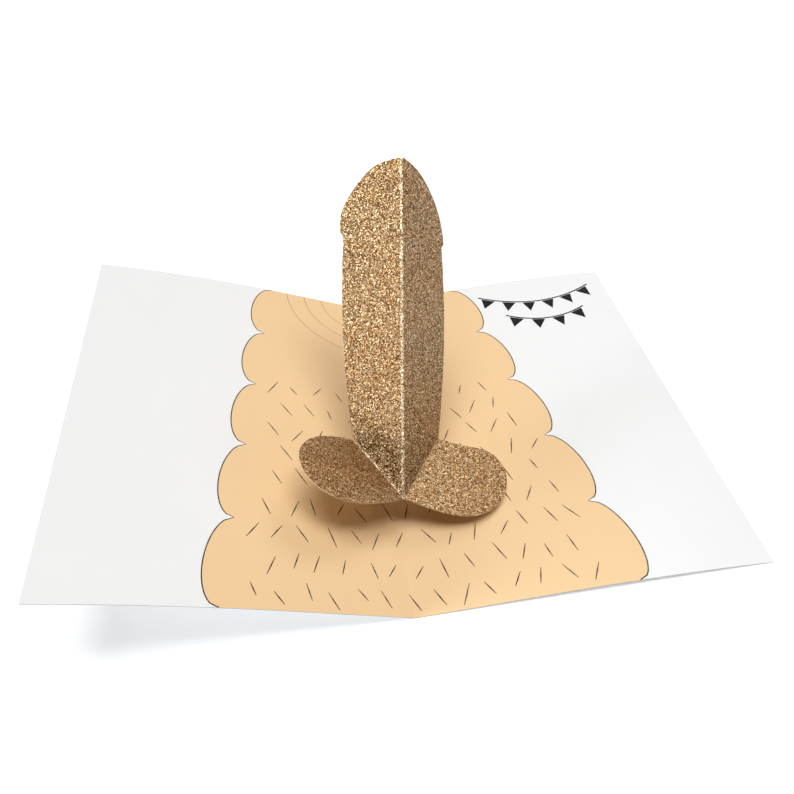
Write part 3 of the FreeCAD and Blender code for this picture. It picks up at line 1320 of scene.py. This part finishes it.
@dataclass(frozen=True)
class PhotoCamera:
    """The photograph's viewpoint, in the card's own frame."""

    place: tuple[float, float, float] = (-54.4, -110.0, 215.0)
    azimuth_deg: float = 12.59
    elevation_deg: float = 46.03
    roll_deg: float = 7.98
    lens: float = 30.87
    sensor: float = 36.0
    shift: tuple[float, float] = (0.0476, 0.0365)
    nearest_seen: float = 0.01

    def build(self, space: CardSpace) -> None:
        """Adds the camera and makes it the scene's own.

        Args:
            space: the card's place in the part's frame.
        """
        az, el = math.radians(self.azimuth_deg), math.radians(self.elevation_deg)
        roll = math.radians(self.roll_deg)
        ahead = Vector((math.sin(az) * math.cos(el), math.cos(az) * math.cos(el), -math.sin(el)))
        right = Vector((math.cos(az), -math.sin(az), 0.0))
        up = right.cross(ahead)
        turned = right * math.cos(roll) + up * math.sin(roll)
        upright = up * math.cos(roll) - right * math.sin(roll)
        axes = [space.direction(v) for v in (turned, upright, -ahead)]
        data = bpy.data.cameras.new("camera")
        data.lens, data.sensor_width = self.lens, self.sensor
        data.shift_x, data.shift_y = self.shift
        data.clip_start = self.nearest_seen
        camera = new_object("camera", data)
        camera.matrix_world = Matrix.Translation(space.place(Vector(self.place))) @ \
            Matrix([[axis[i] for axis in axes] for i in range(3)]).to_4x4()
        bpy.context.scene.camera = camera


@dataclass(frozen=True)
class Lamp:
    """A soft square lamp aimed at the card."""

    name: str
    place: tuple[float, float, float]
    size: float
    watts: float
    aim: tuple[float, float, float] = (0.0, 0.0, 0.03)
    colour: tuple[float, float, float] = (1.0, 1.0, 1.0)

    def build(self) -> None:
        """Adds the lamp."""
        data = bpy.data.lights.new(self.name, "AREA")
        data.size, data.energy, data.color = self.size, self.watts, self.colour
        lamp = new_object(self.name, data)
        lamp.location = self.place
        away = Vector(self.place) - Vector(self.aim)
        lamp.rotation_euler = away.to_track_quat("Z", "Y").to_euler()


def grey(level: float) -> tuple[float, float, float, float]:
    """An opaque grey."""
    return level, level, level, 1.0


@dataclass(frozen=True)
class Studio:
    """Pale floor, soft lamps and a pale surround."""

    floor_half: float = 3.0
    floor_rough: float = 0.9
    floor_grey: float = 0.62        # as it lights the object
    floor_white: float = 0.95       # as it is seen
    glow_reach: tuple[float, float] = (0.35, 0.90)  # distances over which the glow below rises
    glow: tuple[float, float] = (0.35, 1.0)
    surround_grey: float = 0.01
    lamps: tuple[Lamp, ...] = (
        Lamp("top_lamp", (0.0, 0.0, 1.20), 0.60, 8.3),
        Lamp("right_lamp", (0.38, -0.20, 1.08), 0.35, 3.4),
        Lamp("back_right_lamp", (0.60, 0.60, 0.85), 0.45, 2.7),
        Lamp("low_left_lamp", (-1.10, -0.25, 0.24), 0.30, 10.0, colour=(0.93, 1.0, 1.06)),
    )

    def build(self) -> None:
        """Adds the floor, the lamps and the surround."""
        half = self.floor_half
        corners = [(x * half, y * half, 0.0) for x, y in ((-1, -1), (1, -1), (1, 1), (-1, 1))]
        mesh = bpy.data.meshes.new("floor")
        mesh.from_pydata(corners, [], [(0, 1, 2, 3)])
        mesh.materials.append(self.floor_material())
        floor = new_object("floor", mesh)
        for lamp in self.lamps:
            lamp.build()
        world = bpy.data.worlds.new("surround")
        world.use_nodes = True
        nodes = Tree(world.node_tree)
        colour = nodes.mix(self.seen(nodes), grey(self.surround_grey), grey(1.0))
        join(nodes, nodes.find("BACKGROUND"), {"Color": colour})
        bpy.context.scene.world = world

    def seen(self, nodes: Tree) -> bpy.types.NodeSocket:
        """Tells rays that show the background from those that light the object.

        Args:
            nodes: the tree that the nodes join.

        Returns:
            One for a ray of the camera or in gloss or glass, and nought for any other.
        """
        path = nodes.add("LightPath").outputs
        direct = nodes.math("MAXIMUM", path["Is Camera Ray"], path["Is Glossy Ray"])
        return nodes.math("MAXIMUM", direct, path["Is Transmission Ray"])

    def floor_material(self) -> bpy.types.Material:
        """Makes the floor white where it is seen, with the object's shadow, and pale elsewhere.

        Returns:
            The material.
        """
        material, nodes, shader = new_material("floor")
        seen = self.seen(nodes)
        join(nodes, shader, {"Base Color": nodes.mix(seen, grey(self.floor_grey),
                                                     grey(self.floor_white))})
        shader.inputs["Roughness"].default_value = self.floor_rough
        at = nodes.add("TexCoord").outputs["Object"]
        away = nodes.add("VectorMath", {0: at}, operation="LENGTH").outputs["Value"]
        (near, far), (low, high) = self.glow_reach, self.glow
        rising = nodes.add("MapRange", {"Value": away, "From Min": near, "From Max": far,
                                        "To Min": low, "To Max": high}).outputs["Result"]
        glow = nodes.add("Emission", {"Color": grey(1.0),
                                      "Strength": nodes.math("MULTIPLY", seen, rising)})
        both = nodes.add("AddShader", {0: shader.outputs[0], 1: glow.outputs[0]})
        join(nodes, nodes.find("OUTPUT_MATERIAL"), {"Surface": both.outputs[0]})
        return material


def main() -> None:
    """Builds the card, dresses it, lights it and reports each piece."""
    logging.basicConfig(level=logging.INFO, format="%(name)s: %(message)s")
    bpy.context.scene.view_settings.view_transform = "Standard"
    sheet, pattern = CardSheet(), PopupPattern()
    space = CardSpace(sheet)
    PhotoCamera().build(space)
    finishes = Finishes()
    card = PrintedCard(sheet, PrintDesign(), space).build(finishes)
    log.info("printed card: %d faces", len(card.data.polygons))
    popup = GlitterPopup(pattern, space).build(finishes)
    log.info("glitter pop-up: %d faces", len(popup.data.polygons))
    Risers().dress(finishes)
    log.info("risers dressed")
    Studio().build()


if __name__ == "__main__":
    main()
